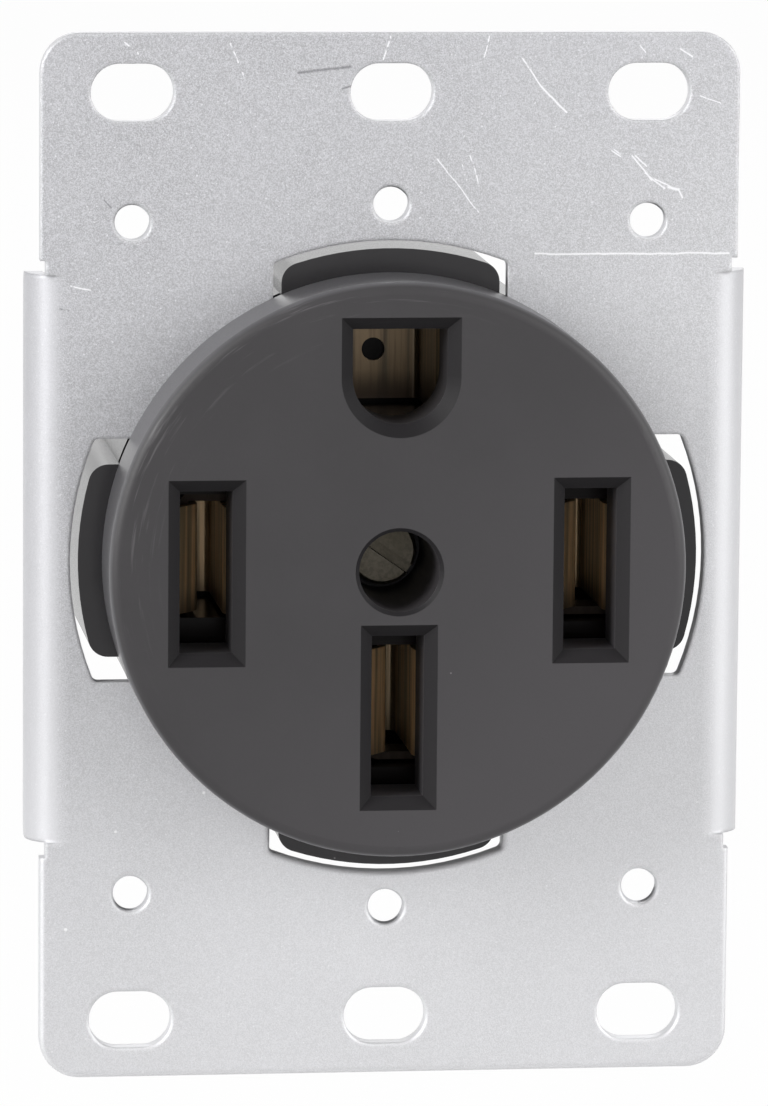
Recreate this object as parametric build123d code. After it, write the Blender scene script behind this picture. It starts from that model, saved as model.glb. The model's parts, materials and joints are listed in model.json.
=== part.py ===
from build123d import *
import os

# Four prong flush receptacle, 50 A, three poles and ground, in millimetres.
# The origin is the middle of the four box slots, on the strap's rear face.
# +Z is up, with the ground slot on top. The face looks along -Y, and +Y goes into the wall box.

# Slots that the wall box screws pass through
box_slot_spacing_x = 46.04
box_slot_spacing_z = 83.34
box_slot_length = 7.4
box_slot_width = 5.1

# Strap: one pressed sheet of galvanised steel, cut a margin past its slots
sheet_thickness = 1.6
strap_side_margin = 8.13
strap_end_margin = 5.28
strap_corner_radius = 3.6
edge_roll = 0.5
hole_edge_roll = 0.25
flange_height = 51.0
flange_span = 64.6
flange_depth = 5.2
flange_bend_radius = 2.0
flange_bend_land = 0.2
flange_corner_radius = 1.3
relief_depth = 0.5
relief_height = 1.3

# Tapped holes for the screws of a cover plate
cover_hole_spacing_x = 46.04
cover_hole_spacing_z = 60.33
cover_hole_middle_spacing_z = 63.4
cover_hole_diameter = 3.3

# Opening in the strap, a round hole with four notches
opening_radius = 22.4
notch_radius = 28.5
notch_width = 21.0
side_notch_height = 21.9
notch_corner_radius = 0.6

# Inward tab of the strap that carries the bonding rivet
bond_angle = 135
bond_rivet_radius = 20.4
bond_tab_width = 7.0
bond_tab_end_radius = 17.5

# Round front cover
face_radius = 25.65
face_height = 8.5
face_rim_fillet = 1.05
cover_side_wall = 2.5
mouth_gap = 0.7
boss_radius = 5.3
boss_web = 2.0
centre_bore_diameter = 7.17
centre_bore_depth = 15.0
centre_bore_chamfer = 0.35

# Blade slots in the face: three straight ones and the ground slot
blade_slot_width = 4.65
blade_slot_length = 14.4
blade_slot_chamfer = 1.1
line_slot_offset = 17.07
neutral_slot_offset = 13.03
ground_slot_offset = 17.25
ground_slot_width = 8.4
ground_slot_height = 8.45
ground_slot_chamfer = 1.1

# Rear body
body_radius = 25.6
body_depth = 27.5
lobe_radius = 27.8
lobe_width = 19.5
side_lobe_height = 17.3
lobe_corner_radius = 1.8
body_rear_fillet = 1.4
body_side_wall = 2.4
plateau_clearance = 0.3
core_offset = 8.8
core_depth = 6.5
core_corner_radius = 2.0
contact_floor = 12.0
partition_thickness = 2.0

# Contacts: brass strip folded into a flat leaf and a bowed leaf
contact_sheet = 0.8
contact_mouth = 2.5
leaf_width = 9.6
leaf_gap = 4.4
mouth_flare = 0.5
bow_height = 2.3
bow_front = 0.3
bow_rear = 5.4
bow_root = 8.8
contact_bend_radius = 0.9
ground_leaf_width = 9.0
ground_leaf_gap = 8.2
ground_base_hole = 2.1
tail_width = 6.8
neutral_tail_width = 6.0
contact_clearance = 0.4

# Steel spring clips round the leaves
clip_sheet = 0.7
clip_bend_radius = 0.5
clip_inset = 0.6
clip_clearance = 0.15
ground_clip_front = 5.0
ground_clip_width = 5.0

# Box lugs, screws and clamp plates of the terminals
lug_inner_radius = 15.6
lug_length = 9.6
lug_width = 10.0
lug_front_wall = 1.4
lug_rear_wall = 2.4
lug_side_wall = 1.6
lug_window_depth = 6.6
lug_edge_radius = 0.5
lug_clearance = 0.3
clamp_plate_thickness = 1.2
clamp_plate_length = 9.0
clamp_plate_clearance = 0.2
clamp_groove = 0.35
terminal_screw_diameter = 6.0
terminal_screw_length = 7.0
terminal_screw_slot_width = 1.2
terminal_screw_slot_depth = 1.8
terminal_screw_chamfer = 0.5
thread_clearance = 0.05

# Centre screw and nut that hold the cover, the strap and the body together
centre_screw_diameter = 3.5
centre_screw_head_diameter = 6.2
centre_screw_head_height = 2.0
centre_screw_slot_width = 1.0
centre_screw_slot_depth = 1.0
centre_screw_slot_angle = 35
centre_hole_clearance = 0.2
nut_across_flats = 7.0
nut_thickness = 2.8
nut_pocket_depth = 4.0
nut_clearance = 0.1
screw_end_past_nut = 0.7

# Bonding strip between the ground contact and the strap
bond_sheet = 0.8
bond_strip_width = 5.0
bond_pad_radius = 3.3
bond_leg_end = 4.4
rivet_shank_diameter = 2.4
rivet_head_diameter = 4.2
rivet_head_height = 0.8
rivet_tail_diameter = 3.8
rivet_tail_height = 0.7

# Sizes that follow from the ones above
strap_width = box_slot_spacing_x + 2 * strap_side_margin
strap_height = box_slot_spacing_z + 2 * strap_end_margin
flange_outer_bend = flange_bend_radius + sheet_thickness
flange_start = flange_span / 2 - flange_outer_bend - flange_bend_land
lug_middle_radius = lug_inner_radius + lug_length / 2

# Places that follow from the sizes above, along Y
strap_front = -sheet_thickness
face_front = strap_front - face_height
cover_back = -contact_mouth - mouth_gap
bore_floor = face_front + centre_bore_depth
boss_end = bore_floor + boss_web
pocket_front = contact_floor + partition_thickness
window_front = pocket_front + lug_front_wall
window_rear = window_front + lug_window_depth
lug_rear = window_rear + lug_rear_wall
core_front = body_depth - core_depth
nut_seat = body_depth - nut_pocket_depth

# Terminals in the order of their quarter turns about Y, from the one that points down
terminal_names = ["neutral", "line_x", "ground", "line_y"]


def prism(outline, y_start, y_end):
    """Extrudes an outline drawn in X and Z from y_start back to y_end."""
    plane = Plane(origin=(0, y_start, 0), x_dir=(1, 0, 0), z_dir=(0, -1, 0))
    return extrude(plane * outline, amount=y_start - y_end)


def turned(shape, name):
    """Turns a shape made for the lower terminal to the named one."""
    return Rot(0, 90 * terminal_names.index(name), 0) * shape


def strip_outline(points, thickness, radius):
    """Section of a bent strip that follows points, with rounded bends."""
    middle = FilletPolyline(*points, radius=radius)
    return trace(middle, line_width=thickness)


def strip_across_x(points, thickness, radius, width):
    """Bent strip whose points are (z, y), as wide as width along X."""
    plane = Plane(origin=(width / 2, 0, 0), x_dir=(0, 0, 1), z_dir=(-1, 0, 0))
    return extrude(plane * strip_outline(points, thickness, radius), amount=width)


def strip_across_z(points, thickness, radius, width, z_middle):
    """Bent strip whose points are (x, y), as wide as width along Z."""
    plane = Plane(origin=(0, 0, z_middle - width / 2))
    return extrude(plane * strip_outline(points, thickness, radius), amount=width)


def straight_slot_outline(grow):
    return Rectangle(blade_slot_width + 2 * grow, blade_slot_length + 2 * grow)


def ground_slot_outline(grow):
    """Flat top and half round bottom, about the slot's own middle."""
    right = ground_slot_width / 2 + grow
    top = ground_slot_height / 2 + grow
    shoulder = right - top
    straight = Polyline((-right, shoulder), (-right, top), (right, top), (right, shoulder))
    return make_face(straight + ThreePointArc((right, shoulder), (0, -top), (-right, shoulder)))


def slot_places():
    """Outline function, place and chamfer of each slot in the face."""
    return [
        (straight_slot_outline, (-line_slot_offset, 0), blade_slot_chamfer),
        (straight_slot_outline, (line_slot_offset, 0), blade_slot_chamfer),
        (straight_slot_outline, (0, -neutral_slot_offset), blade_slot_chamfer),
        (ground_slot_outline, (0, ground_slot_offset), ground_slot_chamfer),
    ]


def crossed_lobes(radius, top_width, side_height, corner_radius):
    """Two crossed bars with round ends, cut from one disc."""
    upright = Circle(radius) & Rectangle(top_width, 3 * radius)
    level = Circle(radius) & Rectangle(3 * radius, side_height)
    upright = fillet(upright.vertices(), corner_radius)
    level = fillet(level.vertices(), corner_radius)
    return upright + level


def bond_tab_outline(grow):
    """Inward tab of the strap, from its end out past the opening's edge."""
    length = notch_radius - bond_tab_end_radius + grow
    middle = bond_tab_end_radius - grow + length / 2
    tab = Rectangle(length, bond_tab_width + 2 * grow)
    return Rot(0, 0, bond_angle) * Pos(middle, 0) * tab


def bond_point():
    turn = Rot(0, 0, bond_angle) * Pos(bond_rivet_radius, 0)
    return turn.position.X, turn.position.Y


def strap_flat():
    """Flat of the strap, with rolled front edges, as far as the bends of the flanges."""
    blank = RectangleRounded(strap_width, strap_height, strap_corner_radius)
    blank -= Rectangle(2 * flange_span, flange_height)
    blank += Rectangle(2 * flange_start, flange_height)
    relief_x = strap_width / 2 - relief_depth / 2
    relief_z = flange_height / 2 + relief_height / 2
    blank -= GridLocations(2 * relief_x, 2 * relief_z, 2, 2) * Rectangle(relief_depth, relief_height)
    opening = Circle(opening_radius) - bond_tab_outline(0)
    opening += crossed_lobes(notch_radius, notch_width, side_notch_height, notch_corner_radius)
    box_slot = SlotOverall(box_slot_length, box_slot_width)
    cover_hole = Circle(cover_hole_diameter / 2)
    bond_x, bond_z = bond_point()
    blank -= opening
    blank -= GridLocations(box_slot_spacing_x, box_slot_spacing_z, 2, 2) * box_slot
    blank -= GridLocations(0, box_slot_spacing_z, 1, 2) * box_slot
    blank -= GridLocations(cover_hole_spacing_x, cover_hole_spacing_z, 2, 2) * cover_hole
    blank -= GridLocations(0, cover_hole_middle_spacing_z, 1, 2) * cover_hole
    blank -= Pos(bond_x, bond_z) * Circle(rivet_shank_diameter / 2 + thread_clearance)
    flat = prism(blank, strap_front, 0)
    rim = flat.faces().sort_by(Axis.Y)[0].outer_wire().edges()
    above_flange = flange_height / 2 + relief_height
    flat = fillet(rim.filter_by(lambda edge: abs(edge.center().Z) > above_flange), edge_roll)
    holes = flat.faces().sort_by(Axis.Y)[0].inner_wires()
    return fillet(holes.edges(), hole_edge_roll)


def strap_flange():
    """Right side flange, bent back from the flat of the strap."""
    middle_line = flange_span / 2 - sheet_thickness / 2
    free_end = strap_front + flange_depth
    middle_depth = strap_front / 2
    points = [(flange_start, middle_depth), (middle_line, middle_depth), (middle_line, free_end)]
    bend = flange_bend_radius + sheet_thickness / 2
    flange = strip_across_z(points, sheet_thickness, bend, flange_height, 0)
    tips = flange.edges().filter_by(Axis.X).group_by(Axis.Y)[-1]
    return fillet(tips, flange_corner_radius)


def make_strap():
    flange = strap_flange()
    return strap_flat() + flange + mirror(flange, about=Plane.YZ)


def slot_mouth(wide, narrow, depth):
    """Sloped mouth of a slot, from its wide outline on the face to its narrow one."""
    face = Plane(origin=(0, face_front, 0), x_dir=(1, 0, 0), z_dir=(0, -1, 0))
    floor = Plane(origin=(0, face_front + depth, 0), x_dir=(1, 0, 0), z_dir=(0, -1, 0))
    return loft([(face * wide).face(), (floor * narrow).face()], ruled=True)


def make_front_cover():
    """Solid moulded face that stands on the strap, with a boss through the strap and body."""
    cover = prism(Circle(face_radius), face_front, strap_front)
    rim = cover.edges().group_by(Axis.Y)[0]
    cover = fillet(rim, face_rim_fillet)
    cover -= prism(Circle(face_radius - cover_side_wall), cover_back, strap_front)
    cover += prism(Circle(boss_radius), cover_back, boss_end)
    cover -= prism(Circle(centre_bore_diameter / 2), face_front, bore_floor)
    front_edges = cover.edges().group_by(Axis.Y)[0]
    cover = chamfer(front_edges.sort_by(SortBy.RADIUS)[0], centre_bore_chamfer)
    for outline, place, chamfer_size in slot_places():
        cover -= prism(Pos(*place) * outline(0), face_front, cover_back)
        cover -= slot_mouth(Pos(*place) * outline(chamfer_size), Pos(*place) * outline(0), chamfer_size)
    return cover - prism(Circle(centre_screw_diameter / 2 + centre_hole_clearance), face_front, boss_end)


def contact_places():
    """Outline and turn of each contact's pocket in the body, open at the front."""
    across_line = leaf_gap + 2 * (contact_sheet + clip_sheet + contact_clearance)
    across_ground = ground_leaf_gap + 2 * (contact_sheet + clip_sheet + contact_clearance)
    inner_end = leaf_width / 2 + contact_clearance
    outer_end = inner_end + clip_sheet
    ground_inner = ground_leaf_width / 2 + contact_clearance
    ground_outer = ground_inner + clip_sheet
    line = Pos(-clip_sheet / 2, -line_slot_offset) * Rectangle(inner_end + outer_end, across_line)
    neutral_middle = -neutral_slot_offset - clip_sheet / 2
    neutral = Pos(0, neutral_middle) * Rectangle(across_line, inner_end + outer_end)
    ground_middle = -ground_slot_offset - clip_sheet / 2
    ground = Pos(0, ground_middle) * Rectangle(across_ground, ground_inner + ground_outer)
    return [("line_x", line), ("line_y", line), ("neutral", neutral), ("ground", ground)]


def leg_radius(name):
    """Inner face of a contact's leg, measured from the middle of the body."""
    if name == "neutral":
        return neutral_slot_offset - leaf_width / 2
    if name == "ground":
        return ground_slot_offset - ground_leaf_width / 2
    return line_slot_offset - leaf_gap / 2 - contact_sheet


def tail_width_of(name):
    return neutral_tail_width if name == "neutral" else tail_width


def leg_slot(name):
    """Slot in the partition that a contact's leg passes through."""
    middle = -leg_radius(name) - contact_sheet / 2
    width = tail_width_of(name) + 2 * thread_clearance
    slot = Pos(0, middle) * Rectangle(width, contact_sheet + 2 * thread_clearance)
    return prism(slot, contact_floor, pocket_front)


def terminal_pocket(name):
    """Pocket for a lug, open at the back and at the side, with a channel for the tail."""
    pocket_width = lug_width + 2 * lug_clearance
    inner = lug_inner_radius - lug_clearance
    outer = lobe_radius + lug_clearance
    pocket = Pos(0, -(inner + outer) / 2) * Rectangle(pocket_width, outer - inner)
    channel_inner = leg_radius(name) - contact_clearance
    channel_width = tail_width_of(name) + 2 * lug_clearance
    channel_middle = -(channel_inner + inner) / 2
    channel = Pos(0, channel_middle) * Rectangle(channel_width, inner - channel_inner)
    channel_rear = window_front + contact_sheet + contact_clearance
    shape = prism(pocket, pocket_front, body_depth)
    return shape + prism(channel, pocket_front, channel_rear)


def body_cores():
    """Hollows moulded into the back of the body, between the terminals."""
    reach = body_radius - body_side_wall
    corner = Pos(reach / 2 + core_offset, reach / 2 + core_offset) * Rectangle(reach, reach)
    core = fillet((Circle(reach) & corner).vertices(), core_corner_radius)
    outline = Sketch()
    for angle in (0, 90, 180, 270):
        outline += Rot(0, 0, angle) * core
    return prism(outline, core_front, body_depth)


def bond_strip_outline(grow):
    """Flat part of the bonding strip, from the rivet to the ground contact."""
    bond_x, bond_z = bond_point()
    near_end = -ground_leaf_gap / 2 - contact_sheet
    band_length = near_end - bond_x
    band = Rectangle(band_length, bond_strip_width + 2 * grow)
    band = Pos(bond_x + band_length / 2, bond_z + bond_pad_radius - bond_strip_width / 2) * band
    return band + Pos(bond_x, bond_z) * Circle(bond_pad_radius + grow)


def make_rear_body():
    lobes = crossed_lobes(lobe_radius, lobe_width, side_lobe_height, lobe_corner_radius)
    body = prism(Circle(body_radius) + lobes, 0, body_depth)
    body = fillet(body.edges().group_by(Axis.Y)[-1], body_rear_fillet)
    plateau = Circle(opening_radius - plateau_clearance) + lobes
    body += prism(plateau, strap_front, 0)
    body -= prism(bond_tab_outline(plateau_clearance), strap_front, 0)
    for name, pocket in contact_places():
        body -= turned(prism(pocket, strap_front, contact_floor), name)
        body -= turned(leg_slot(name), name)
        body -= turned(terminal_pocket(name), name)
    body -= body_cores()
    body -= prism(Circle(boss_radius + centre_hole_clearance), strap_front, boss_end + thread_clearance)
    hole = Circle(centre_screw_diameter / 2 + centre_hole_clearance)
    body -= prism(hole, boss_end, body_depth)
    nut_pocket = RegularPolygon(nut_across_flats / 2 + nut_clearance, 6, major_radius=False)
    body -= prism(nut_pocket, nut_seat, body_depth)
    bond_x, bond_z = bond_point()
    body -= prism(bond_strip_outline(contact_clearance), strap_front, bond_sheet)
    tail_room = Circle(rivet_tail_diameter / 2 + contact_clearance)
    rivet_room = bond_sheet + rivet_tail_height + contact_clearance
    return body - prism(Pos(bond_x, bond_z) * tail_room, bond_sheet, rivet_room)


def leaf_points(gap, bowed_side):
    """Middle line of a folded contact: flat leaf, base, then bowed leaf, as (across, y)."""
    reach = gap / 2 + contact_sheet / 2
    base = contact_floor - contact_sheet / 2
    mouth = -contact_mouth
    flare_start = mouth + 2 * mouth_flare
    points = [(reach + mouth_flare / 2, mouth), (reach, flare_start), (reach, base)]
    points += [(-reach, base)]
    if bowed_side:
        crest = reach - bow_height
        points += [(-reach, bow_root), (-crest, bow_rear), (-crest, bow_front), (-reach, mouth)]
    else:
        points += [(-reach, flare_start), (-reach - mouth_flare / 2, mouth)]
    return points


def tail_points(name, start):
    """Middle line of the leg and tail, as (z, y), for the lower terminal."""
    leg = -leg_radius(name) - contact_sheet / 2
    tail = window_front + contact_sheet / 2
    end = -lug_inner_radius - lug_length
    return [start, (leg, tail), (end, tail)]


def bow_direction(name):
    """The bowed leaf is on the viewer's left in every slot, so line_y's is turned round."""
    return -1 if name == "line_y" else 1


def make_line_contact(name):
    side = bow_direction(name)
    places = [(side * z - line_slot_offset, y) for z, y in leaf_points(leaf_gap, True)]
    leaves = strip_across_x(places, contact_sheet, contact_bend_radius, leaf_width)
    leg = -leg_radius(name) - contact_sheet / 2
    points = tail_points(name, (leg, contact_floor - 2 * contact_bend_radius))
    tail = strip_across_x(points, contact_sheet, contact_bend_radius, tail_width)
    return turned(leaves + tail, name)


def make_end_tail_contact(name, gap, width, offset, bowed_side):
    """Contact whose leg leaves from the end of its base nearest the middle of the body."""
    points = leaf_points(gap, bowed_side)
    leaves = strip_across_z(points, contact_sheet, contact_bend_radius, width, -offset)
    base = contact_floor - contact_sheet / 2
    leg = -leg_radius(name) - contact_sheet / 2
    points = tail_points(name, (leg, base - contact_sheet / 2))
    tail = strip_across_x(points, contact_sheet, contact_bend_radius, tail_width_of(name))
    contact = leaves + tail
    if name == "ground":
        hole = Pos(0, -offset) * Circle(ground_base_hole / 2)
        contact -= prism(hole, 0, contact_floor)
    return turned(contact, name)


def clip_points(low, high, width):
    """Middle line of a band open at one end, as (across, along) the blade."""
    open_end = width / 2
    bridge = -width / 2 - clip_clearance - clip_sheet / 2
    return [(low, open_end), (low, bridge), (high, bridge), (high, open_end)]


def make_spring_clip(name):
    """Steel band that presses the leaves of a contact together."""
    gap = ground_leaf_gap if name == "ground" else leaf_gap
    flat_side = gap / 2 + contact_sheet + clip_sheet / 2
    if name == "ground":
        points = clip_points(-flat_side, flat_side, ground_leaf_width)
        outline = Pos(0, -ground_slot_offset) * strip_outline(points, clip_sheet, clip_bend_radius)
        clip = prism(outline, ground_clip_front, ground_clip_front + ground_clip_width)
        return turned(clip, name)
    side = bow_direction(name)
    points = clip_points(side * (bow_height - flat_side), side * flat_side, leaf_width)
    offset_z = -neutral_slot_offset
    if name != "neutral":
        points = [(along, across) for across, along in points]
        offset_z = -line_slot_offset
    outline = Pos(0, offset_z) * strip_outline(points, clip_sheet, clip_bend_radius)
    return turned(prism(outline, bow_front + clip_inset, bow_rear - clip_inset), name)


def make_lug(name):
    """Square brass box with a window for the wire and a tapped rear wall."""
    outline = Pos(0, -lug_middle_radius) * Rectangle(lug_width, lug_length)
    lug = prism(outline, pocket_front, lug_rear)
    lug = fillet(lug.edges().filter_by(Axis.Z), lug_edge_radius)
    window_width = lug_width - 2 * lug_side_wall
    window = Pos(0, -lug_middle_radius) * Rectangle(window_width, 2 * lug_length)
    lug -= prism(window, window_front, window_rear)
    hole = Circle(terminal_screw_diameter / 2 + thread_clearance)
    lug -= prism(Pos(0, -lug_middle_radius) * hole, window_rear, lug_rear)
    return turned(lug, name)


def make_clamp_plate(name):
    """Loose plate between the wire and the screw, grooved on the wire's side."""
    width = lug_width - 2 * lug_side_wall - 2 * clamp_plate_clearance
    outline = Pos(0, -lug_middle_radius) * Rectangle(width, clamp_plate_length)
    front = window_rear - clamp_plate_thickness
    plate = prism(outline, front, window_rear)
    for step in (-1, 0, 1):
        groove = Rot(45, 0, 0) * Box(width, clamp_groove, clamp_groove)
        plate -= Pos(0, front, -lug_middle_radius + step * clamp_plate_length / 4) * groove
    return turned(plate, name)


def make_terminal_screw(name):
    screw = prism(Circle(terminal_screw_diameter / 2), window_rear, window_rear + terminal_screw_length)
    ends = screw.edges().filter_by(GeomType.CIRCLE)
    screw = chamfer(ends, terminal_screw_chamfer)
    slot = Box(2 * terminal_screw_diameter, 2 * terminal_screw_slot_depth, terminal_screw_slot_width)
    screw -= Pos(0, window_rear + terminal_screw_length, 0) * slot
    return turned(Pos(0, 0, -lug_middle_radius) * screw, name)


def make_centre_screw():
    head = prism(Circle(centre_screw_head_diameter / 2), bore_floor - centre_screw_head_height, bore_floor)
    head = fillet(head.edges().group_by(Axis.Y)[0], centre_screw_head_height / 3)
    end = nut_seat + nut_thickness + screw_end_past_nut
    shank = prism(Circle(centre_screw_diameter / 2), bore_floor, end)
    slot = Box(2 * centre_screw_head_diameter, 2 * centre_screw_slot_depth, centre_screw_slot_width)
    slot = Rot(0, centre_screw_slot_angle, 0) * slot
    return head + shank - Pos(0, bore_floor - centre_screw_head_height, 0) * slot


def make_centre_nut():
    outline = RegularPolygon(nut_across_flats / 2, 6, major_radius=False)
    outline -= Circle(centre_screw_diameter / 2 + thread_clearance)
    return prism(outline, nut_seat, nut_seat + nut_thickness)


def make_bonding_strip():
    """Flat strip behind the strap's tab, with a leg that lies on the ground contact."""
    bond_x, bond_z = bond_point()
    flat = bond_strip_outline(0) - Pos(bond_x, bond_z) * Circle(rivet_shank_diameter / 2 + thread_clearance)
    strip = prism(flat, 0, bond_sheet)
    leg_x = -ground_leaf_gap / 2 - contact_sheet - bond_sheet / 2
    leg_z = bond_z + bond_pad_radius - bond_strip_width / 2
    leg = Pos(leg_x, leg_z) * Rectangle(bond_sheet, bond_strip_width)
    return strip + prism(leg, 0, bond_leg_end)


def make_bonding_rivet():
    bond_x, bond_z = bond_point()
    head = prism(Circle(rivet_head_diameter / 2), strap_front - rivet_head_height, strap_front)
    head = fillet(head.edges().group_by(Axis.Y)[0], rivet_head_height / 2)
    shank = prism(Circle(rivet_shank_diameter / 2), strap_front, bond_sheet)
    tail = prism(Circle(rivet_tail_diameter / 2), bond_sheet, bond_sheet + rivet_tail_height)
    return Pos(bond_x, 0, bond_z) * (head + shank + tail)


def build_nodes():
    nodes = {
        "front_cover": make_front_cover(),
        "strap": make_strap(),
        "rear_body": make_rear_body(),
        "line_x_contact": make_line_contact("line_x"),
        "line_y_contact": make_line_contact("line_y"),
        "neutral_contact": make_end_tail_contact(
            "neutral", leaf_gap, leaf_width, neutral_slot_offset, True
        ),
        "ground_contact": make_end_tail_contact(
            "ground", ground_leaf_gap, ground_leaf_width, ground_slot_offset, False
        ),
        "bonding_strip": make_bonding_strip(),
        "bonding_rivet": make_bonding_rivet(),
        "centre_screw": make_centre_screw(),
        "centre_nut": make_centre_nut(),
    }
    for name in terminal_names:
        nodes[name + "_spring_clip"] = make_spring_clip(name)
        nodes[name + "_lug"] = make_lug(name)
        nodes[name + "_clamp_plate"] = make_clamp_plate(name)
        nodes[name + "_terminal_screw"] = make_terminal_screw(name)
    return nodes


os.makedirs("parts", exist_ok=True)
for node_name, node_shape in build_nodes().items():
    export_step(node_shape, "parts/" + node_name + ".step")
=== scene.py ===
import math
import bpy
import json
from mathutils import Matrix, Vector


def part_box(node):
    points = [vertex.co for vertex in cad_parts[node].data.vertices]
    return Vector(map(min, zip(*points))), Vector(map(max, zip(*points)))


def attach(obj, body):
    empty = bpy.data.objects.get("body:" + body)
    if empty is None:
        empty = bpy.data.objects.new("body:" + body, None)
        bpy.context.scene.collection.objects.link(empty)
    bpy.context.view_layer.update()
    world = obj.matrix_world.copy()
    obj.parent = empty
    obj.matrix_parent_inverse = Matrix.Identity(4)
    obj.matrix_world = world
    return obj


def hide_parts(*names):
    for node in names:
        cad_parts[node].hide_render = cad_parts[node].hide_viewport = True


bl_info = {
    "name": "Four Prong Receptacle Finish",
    "version": (1, 0, 0),
    "blender": (4, 5, 0),
    "location": "View3D > Sidebar > Receptacle",
    "description": "Dresses a flush power receptacle: galvanised strap, moulded face, brass contacts and screws",
    "category": "Object",
}

import bmesh
import bpy
from bpy.props import FloatProperty, FloatVectorProperty, IntProperty, PointerProperty
from mathutils import Matrix, Vector

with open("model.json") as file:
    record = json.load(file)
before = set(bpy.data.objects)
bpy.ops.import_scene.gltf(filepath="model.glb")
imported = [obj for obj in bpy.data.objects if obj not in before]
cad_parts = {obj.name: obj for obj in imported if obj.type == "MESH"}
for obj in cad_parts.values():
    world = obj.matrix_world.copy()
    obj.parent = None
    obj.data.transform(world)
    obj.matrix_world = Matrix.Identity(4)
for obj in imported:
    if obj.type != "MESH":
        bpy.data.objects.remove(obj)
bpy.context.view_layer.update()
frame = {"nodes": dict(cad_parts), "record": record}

MM = 0.001
X_AXIS, Y_AXIS, Z_AXIS = 0, 1, 2
TERMINALS = ("neutral", "line_x", "ground", "line_y")

# Places read from the frame, in metres
STRAP_LOW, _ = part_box("strap")
STRAP_FRONT = STRAP_LOW.y
COVER_LOW, COVER_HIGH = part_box("front_cover")
FACE_RADIUS = (COVER_HIGH.x - COVER_LOW.x) / 2

# Where a finish, painted light or painted shade fades in, from none of it to all of it, in metres
BEND = (28.8 * MM, 30.2 * MM)
FLANGE_END = (25.6 * MM, 25.4 * MM)
STRAP_FACE = (STRAP_FRONT * 0.7, STRAP_FRONT * 0.9)
STRAP_UPWARD = (-35 * MM, 20 * MM)
# Painted light: the strap is painted paler towards its lower right
PAINTED_LIGHT_SIDE = (-52 * MM, 40 * MM)
# Painted sheen: the face is lighter towards its lower right
PAINTED_SHEEN_SIDE = (10 * MM, -36 * MM)
# Scuffs near the rim with a painted highlight, on the upper left only
SCUFF_HIGHLIGHT_SIDE = (8 * MM, 34 * MM)
FACE_RIM = (FACE_RADIUS * 0.78, FACE_RADIUS * 0.97)
FACE_SIDE = (FACE_RADIUS * 0.985, FACE_RADIUS * 0.999)
SLOT_AREA = (24.4 * MM, 24.0 * MM)
CENTRE_BORE = (3.95 * MM, 3.85 * MM)
BORE_INWARD = (-9.8 * MM, -4 * MM)
CHAMBERS = (22.5 * MM, 21.5 * MM)
CHAMBERS_INWARD = (21 * MM, 19 * MM)
# Painted shade on the contacts: deeper in, and towards their low end
CONTACT_INWARD = (6 * MM, 15 * MM)
CONTACT_LOW_END = (-2 * MM, -6 * MM)

# Slope of a surface, as the share of its normal along Y, where an edge mask fades in
WALL_SLOPE = (0.45, 0.15)
EDGE_OFF_WALL = (0.25, 0.55)
EDGE_OFF_FACE = (0.985, 0.9)

# Turned screws, in metres: a slot is (width, depth)
TERMINAL_THREAD_HEIGHT = 0.45 * MM
TERMINAL_CHAMFER = 0.5 * MM
TERMINAL_PLAIN_END = 0.9 * MM
TERMINAL_SLOT = (1.2 * MM, 1.8 * MM)
CENTRE_HEAD_HEIGHT = 2.0 * MM
CENTRE_HEAD_EDGE = 0.3 * MM
CENTRE_SHANK_RADIUS = 1.75 * MM
CENTRE_THREAD_LENGTH = 9.4 * MM
CENTRE_THREAD_HEIGHT = 0.3 * MM
CENTRE_PLAIN_END = 0.3 * MM
CENTRE_THREAD_PITCH = 0.8 * MM
CENTRE_SLOT = (0.9 * MM, 1.1 * MM)
CENTRE_SLOT_TURN = math.radians(35)
CENTRE_THREAD_STEPS = 40
ROWS_PER_PITCH = 6
SHARP_ANGLE = math.radians(35)

# Thread ridges of the tapped holes, in metres, in steps round a turn and in shares
TAPPED_PITCH = 0.79 * MM
TAPPED_STEPS = 32
TAPPED_HALF_SHARE = 0.42
TAPPED_MARGIN = 0.05 * MM
TAPPED_SUNK = 0.02 * MM
TAPPED_TAPER_STEPS = 4
TAPPED_TIP_SHARE = 0.02

# Photo frame in pixels, and the long side of the camera's sensor in millimetres
PHOTO_HEIGHT = 1106
SENSOR_LONG_SIDE = 36.0

# Stage, in metres
CAMERA_TARGET = (-0.82 * MM, -5 * MM, 0.97 * MM)
FLOOR_REACH = 6.0
FLOOR_DROP = 0.02
FLOOR_SHADE = (0.88, 0.88, 0.88, 1)
FLOOR_WHITE = 0.98
WORLD_STRENGTH = 0.08

# Soft boxes: name, place, size, and share of the lamp power
LAMPS = (
    ("left_box", (-0.85, -0.42, 0.40), (0.4, 0.8), 1.0),
    ("right_box", (0.72, -0.62, 0.30), (0.4, 0.8), 0.25),
    ("far_right_box", (0.88, -0.35, 0.30), (0.4, 0.8), 0.36),
    ("front_box", (-0.05, -1.2, 0.05), (1.3, 0.7), 0.10),
    ("back_box", (0.2, 1.0, 0.6), (0.8, 0.6), 0.27),
)

# Tones of the galvanised strap
CHALKY_ZINC = (0.66, 0.66, 0.69)
BRIGHT_FLECK = (0.93, 0.93, 0.95)
DARK_FLECK = (0.28, 0.28, 0.30)
# Painted light: the paler tone of the strap towards its lower right
PAINTED_LIGHT_ZINC = (0.92, 0.92, 0.93)
GLINT = (0.96, 0.96, 0.97)
SHEARED_ZINC = (0.70, 0.70, 0.72)
# Rolled edges: partly bare zinc, partly a painted highlight
BARE_EDGE_AND_HIGHLIGHT = (0.95, 0.95, 0.96)
PALE_SCRATCH = (0.95, 0.95, 0.97)
DARK_SCRATCH = (0.14, 0.14, 0.15)
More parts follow.
